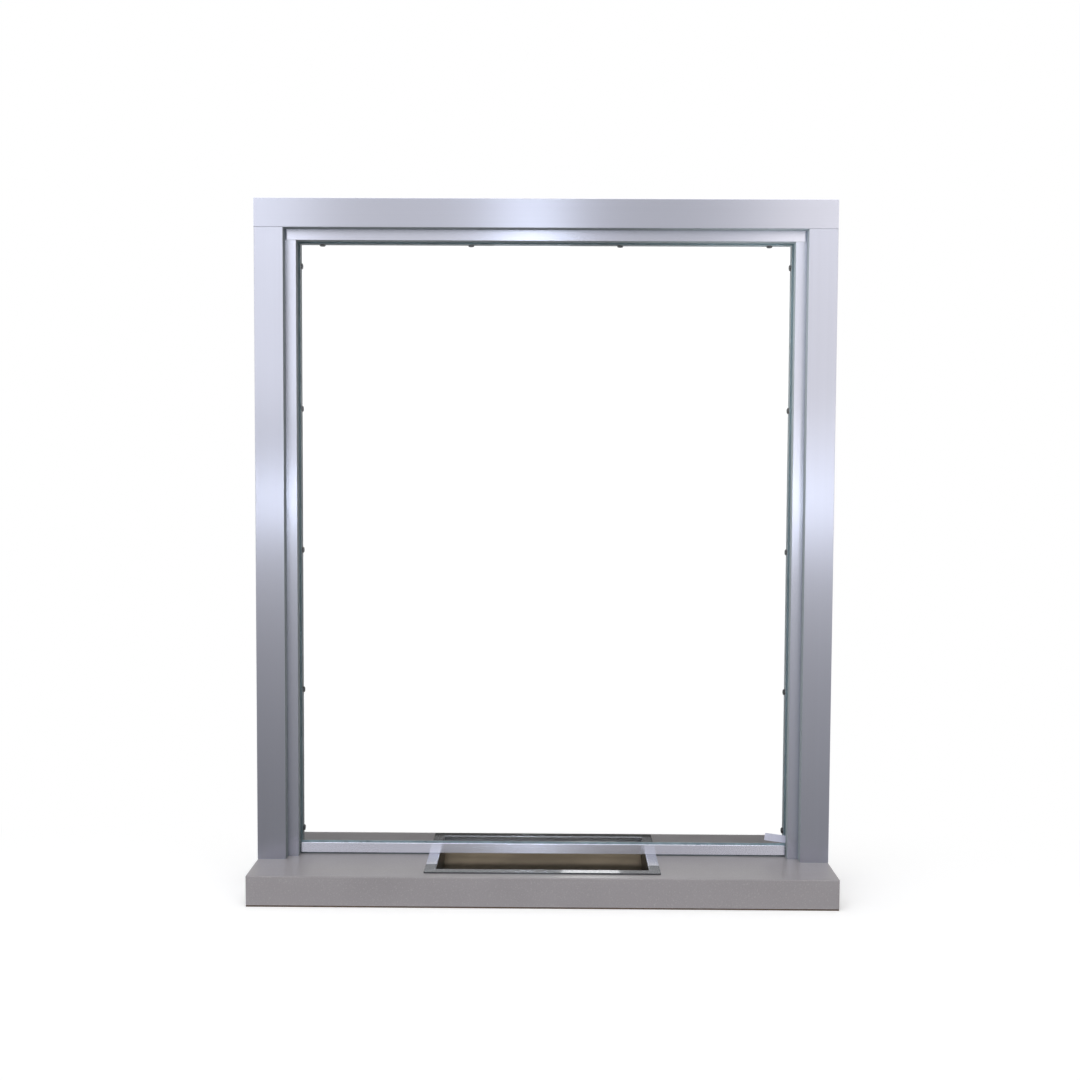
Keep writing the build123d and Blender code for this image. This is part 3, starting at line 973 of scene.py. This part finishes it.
class PAYWINDOW_OT_label(bpy.types.Operator):
    """Add the small blank label at the lower corner of the glass"""

    bl_idname = "paywindow.label"
    bl_label = "Blank Label"

    def execute(self, context):
        looks = context.scene.pay_window_finishes
        sizes = context.scene.pay_window_fixings
        made = Finish("blank_label_film")
        creases = stretched_noise(made.tree, made.place, (220.0, 220.0, 60.0), 1.0, 3.0)
        made.set(
            Base_Color=shade(made.tree, looks.label, spread(made.tree, creases, 0.93, 1.05)),
            Roughness=spread(made.tree, creases, 0.35, 0.5),
        )
        made.raise_surface(creases, 0.0001)

        mesh = bmesh.new()
        bmesh.ops.create_grid(mesh, x_segments=1, y_segments=1, size=0.5)
        bmesh.ops.scale(mesh, verts=mesh.verts, vec=(sizes.label_width, sizes.label_height, 1))
        bmesh.ops.bevel(
            mesh,
            geom=list(mesh.verts),
            offset=sizes.label_corner,
            offset_type="OFFSET",
            segments=5,
            profile=0.5,
            affect="VERTICES",
            material=-1,
        )
        raised = bmesh.ops.extrude_face_region(mesh, geom=list(mesh.faces))["geom"]
        lift = (0, 0, sizes.label_thickness)
        bmesh.ops.translate(mesh, verts=points_in(raised), vec=lift)
        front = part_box("glass_pane")[0].y + sizes.glass_inset
        middle = (sizes.label_middle[0], front, sizes.label_middle[1])
        turned = Matrix.Rotation(sizes.label_turn, 4, "Y") @ STAND_UP
        bmesh.ops.transform(mesh, matrix=Matrix.Translation(middle) @ turned, verts=mesh.verts)
        finish_piece(mesh, "blank_label", made.material)
        return {"FINISHED"}


def add_panel_lamp(name, place, aim, size, power, tint):
    """A rectangular softbox that looks at a point."""
    data = bpy.data.lights.new(name, "AREA")
    data.shape = "RECTANGLE"
    data.size, data.size_y = size
    data.energy = power
    data.color = tint
    lamp = link_object(name, data)
    lamp.location = place
    lamp.rotation_euler = (Vector(aim) - Vector(place)).to_track_quat("-Z", "Y").to_euler()


def mix_shaders(made, share, first, second):
    """Show a mix of two shaders instead of the finish's own."""
    mix = add_node(made.tree, "ShaderNodeMixShader")
    connect(made.tree, share, mix.inputs["Fac"])
    made.tree.links.new(first, mix.inputs[1])
    made.tree.links.new(second, mix.inputs[2])
    made.tree.links.new(mix.outputs["Shader"], made.tree.nodes["Material Output"].inputs["Surface"])


def add_card(name, place, width, height, behind_glass=False, through_glass=False):
    """A plain card that only shows in reflections, or only in those met past the glass."""
    mesh = bmesh.new()
    bmesh.ops.create_grid(mesh, x_segments=1, y_segments=1, size=0.5)
    bmesh.ops.scale(mesh, verts=mesh.verts, vec=(width, height, 1))
    bmesh.ops.transform(mesh, matrix=place, verts=mesh.verts)
    card = link_mesh(mesh, name)
    card.visible_camera = False
    card.visible_diffuse = False
    card.visible_transmission = through_glass
    card.visible_shadow = False
    card.visible_volume_scatter = False
    made = Finish(f"{name}_paper")
    path = add_node(made.tree, "ShaderNodeLightPath")
    mirrored = calculate(made.tree, "GREATER_THAN", path.outputs["Glossy Depth"], 0.5)
    if behind_glass:
        passed = calculate(made.tree, "GREATER_THAN", path.outputs["Transmission Depth"], 0.5)
        mirrored = multiply(made.tree, mirrored, passed)
    clear = add_node(made.tree, "ShaderNodeBsdfTransparent")
    glow = add_node(made.tree, "ShaderNodeEmission")
    mix_shaders(made, mirrored, clear.outputs["BSDF"], glow.outputs["Emission"])
    card.data.materials.append(made.material)
    return made, glow


def seen_rays(tree):
    """1 for rays that show the background: to the camera, off metal and through glass."""
    path = add_node(tree, "ShaderNodeLightPath")
    shown = calculate(tree, "MAXIMUM", path.outputs["Is Camera Ray"], path.outputs["Is Glossy Ray"])
    return calculate(tree, "MAXIMUM", shown, path.outputs["Is Transmission Ray"])


def white_level(tree):
    """White, with what the glass reflects away added back for rays that come through it."""
    path = add_node(tree, "ShaderNodeLightPath")
    return remap(tree, path.outputs["Is Transmission Ray"], 0.0, 1.0, 1.0, WHITE_THROUGH_GLASS)


def place_camera(scene, stage):
    """Stand the camera where the photo was taken."""
    data = bpy.data.cameras.new("view_camera")
    data.sensor_width = SENSOR_WIDTH
    data.lens = stage.camera_lens
    camera = link_object("view_camera", data)
    turn = Matrix.Rotation(-stage.camera_yaw, 4, "Z")
    tilt = Matrix.Rotation(math.pi / 2 - stage.camera_pitch, 4, "X")
    roll = Matrix.Rotation(stage.camera_roll, 4, "Z")
    camera.matrix_world = Matrix.Translation(stage.camera_place) @ turn @ tilt @ roll
    scene.camera = camera


def light_room(scene, stage):
    """A white room to look at, whose own light is softer and comes more from the left."""
    world = bpy.data.worlds.new("studio_room")
    scene.world = world
    world.use_nodes = True
    tree = world.node_tree
    light = tree.nodes["Background"]
    heading = split(tree, add_node(tree, "ShaderNodeTexCoord").outputs["Generated"])
    front = remap(tree, heading["Y"], -0.4, 0.5, stage.sky_light, stage.rear_light)
    side = remap(tree, heading["X"], -0.8, 0.8, 2 * stage.left_sky, 2 - 2 * stage.left_sky)
    soft = multiply(tree, front, side)
    strength = remap(tree, seen_rays(tree), 0.0, 1.0, soft, white_level(tree))
    connect(tree, WHITE, light.inputs["Color"])
    connect(tree, strength, light.inputs["Strength"])


def lay_floor(stage):
    """Pale paper that takes a shadow beside the counter and turns plain white further out."""
    mesh = bmesh.new()
    bmesh.ops.create_grid(mesh, x_segments=4, y_segments=4, size=stage.floor_size / 2)
    bmesh.ops.translate(mesh, verts=mesh.verts, vec=(0, 0, -FLOOR_DROP))
    floor = link_mesh(mesh, "studio_floor")
    made = Finish("studio_floor_paper")
    tree = made.tree
    made.set(Base_Color=stage.floor_colour, Roughness=1.0, Specular_IOR_Level=0.0)
    shown = seen_rays(tree)
    lift = add_node(tree, "ShaderNodeEmission")
    connect(tree, multiply(tree, shown, stage.floor_glow), lift.inputs["Strength"])
    near_paper = add_node(tree, "ShaderNodeAddShader")
    tree.links.new(made.shader.outputs["BSDF"], near_paper.inputs[0])
    tree.links.new(lift.outputs["Emission"], near_paper.inputs[1])
    glow = add_node(tree, "ShaderNodeEmission")
    connect(tree, white_level(tree), glow.inputs["Strength"])
    oval = add_node(tree, "ShaderNodeVectorMath", operation="MULTIPLY_ADD")
    connect(tree, made.place, oval.inputs[0])
    oval.inputs[1].default_value = OVAL_SCALE
    oval.inputs[2].default_value = OVAL_SHIFT
    distance = add_node(tree, "ShaderNodeVectorMath", operation="LENGTH")
    connect(tree, oval.outputs["Vector"], distance.inputs[0])
    away = remap(tree, distance.outputs["Value"], stage.floor_near, stage.floor_far, smooth=True)
    far = multiply(tree, away, shown)
    mix_shaders(made, far, near_paper.outputs["Shader"], glow.outputs["Emission"])
    floor.data.materials.append(made.material)


def add_cards(stage):
    """The grey card on the floor and the standing cards that the metal reflects."""
    front, rear = (corner.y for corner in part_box("counter_top"))
    near = front - CARD_GAP
    far = near - stage.card_depth
    lie = Matrix.Translation((0, near - stage.card_depth / 2, CARD_LIFT))
    made, glow = add_card("grey_card", lie, stage.floor_size / 2, stage.card_depth)
    place = split(made.tree, made.place)
    tone = remap(made.tree, place["Y"], far, near, 1.0, stage.card_near)
    slope = remap(made.tree, place["X"], -0.7, 0.7, *CARD_SLOPE)
    connect(made.tree, multiply(made.tree, tone, slope), glow.inputs["Strength"])

    stand = Matrix.Translation((0, rear + 0.2, 0.15)) @ STAND_UP
    made, glow = add_card("rear_card", stand, 2.0, 0.3, behind_glass=True)
    connect(made.tree, (1.0, 0.95, 0.85), glow.inputs["Color"])
    connect(made.tree, stage.rear_card_tone, glow.inputs["Strength"])

    stand = Matrix.Translation((0.075, rear + 0.21, 0.15)) @ STAND_UP
    made, glow = add_card("tray_strip", stand, 0.09, 0.3, behind_glass=True, through_glass=True)
    connect(made.tree, stage.tray_strip_light, glow.inputs["Strength"])

    stand = Matrix.Translation((0.3, -2.75, 1.5)) @ STAND_UP
    made, glow = add_card("flag_card", stand, 0.5, 3.0)
    connect(made.tree, stage.flag_tone, glow.inputs["Strength"])


class PAYWINDOW_OT_stage(bpy.types.Operator):
    """Set up the pale floor, the cards, the soft lamps and the camera"""

    bl_idname = "paywindow.stage"
    bl_label = "Studio"

    def execute(self, context):
        scene = context.scene
        stage = scene.pay_window_stage
        scene.view_settings.view_transform = "Standard"
        place_camera(scene, stage)
        light_room(scene, stage)
        lay_floor(stage)
        add_cards(stage)
        for name, place, aim, size, tint in LAMPS:
            add_panel_lamp(name, place, aim, size, getattr(stage, name), tint)
        return {"FINISHED"}


STEPS = (
    PAYWINDOW_OT_casing,
    PAYWINDOW_OT_stops,
    PAYWINDOW_OT_rail,
    PAYWINDOW_OT_gaskets,
    PAYWINDOW_OT_glass,
    PAYWINDOW_OT_tray,
    PAYWINDOW_OT_counter,
    PAYWINDOW_OT_screws,
    PAYWINDOW_OT_label,
    PAYWINDOW_OT_stage,
)


class PAYWINDOW_PT_sidebar(bpy.types.Panel):
    """Lists the steps that dress the pay window"""

    bl_idname = "PAYWINDOW_PT_sidebar"
    bl_label = "Pay Window"
    bl_space_type = "VIEW_3D"
    bl_region_type = "UI"
    bl_category = "Pay Window"

    def draw(self, context):
        scene = context.scene
        for group in (scene.pay_window_finishes, scene.pay_window_fixings, scene.pay_window_stage):
            box = self.layout.box()
            for name in group.__annotations__:
                box.prop(group, name)
        for step in STEPS:
            self.layout.operator(step.bl_idname)


CLASSES = (PayWindowFinishes, PayWindowFixings, PayWindowStage, *STEPS, PAYWINDOW_PT_sidebar)


def register():
    for cls in CLASSES:
        bpy.utils.register_class(cls)
    bpy.types.Scene.pay_window_finishes = bpy.props.PointerProperty(type=PayWindowFinishes)
    bpy.types.Scene.pay_window_fixings = bpy.props.PointerProperty(type=PayWindowFixings)
    bpy.types.Scene.pay_window_stage = bpy.props.PointerProperty(type=PayWindowStage)


def unregister():
    del bpy.types.Scene.pay_window_stage
    del bpy.types.Scene.pay_window_fixings
    del bpy.types.Scene.pay_window_finishes
    for cls in reversed(CLASSES):
        bpy.utils.unregister_class(cls)


def main():
    """Register the add-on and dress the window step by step."""
    register()
    bpy.ops.paywindow.casing()
    bpy.ops.paywindow.stops()
    bpy.ops.paywindow.rail()
    bpy.ops.paywindow.gaskets()
    bpy.ops.paywindow.glass()
    bpy.ops.paywindow.tray()
    bpy.ops.paywindow.counter()
    bpy.ops.paywindow.screws()
    bpy.ops.paywindow.label()
    bpy.ops.paywindow.stage()


if __name__ == "__main__":
    main()
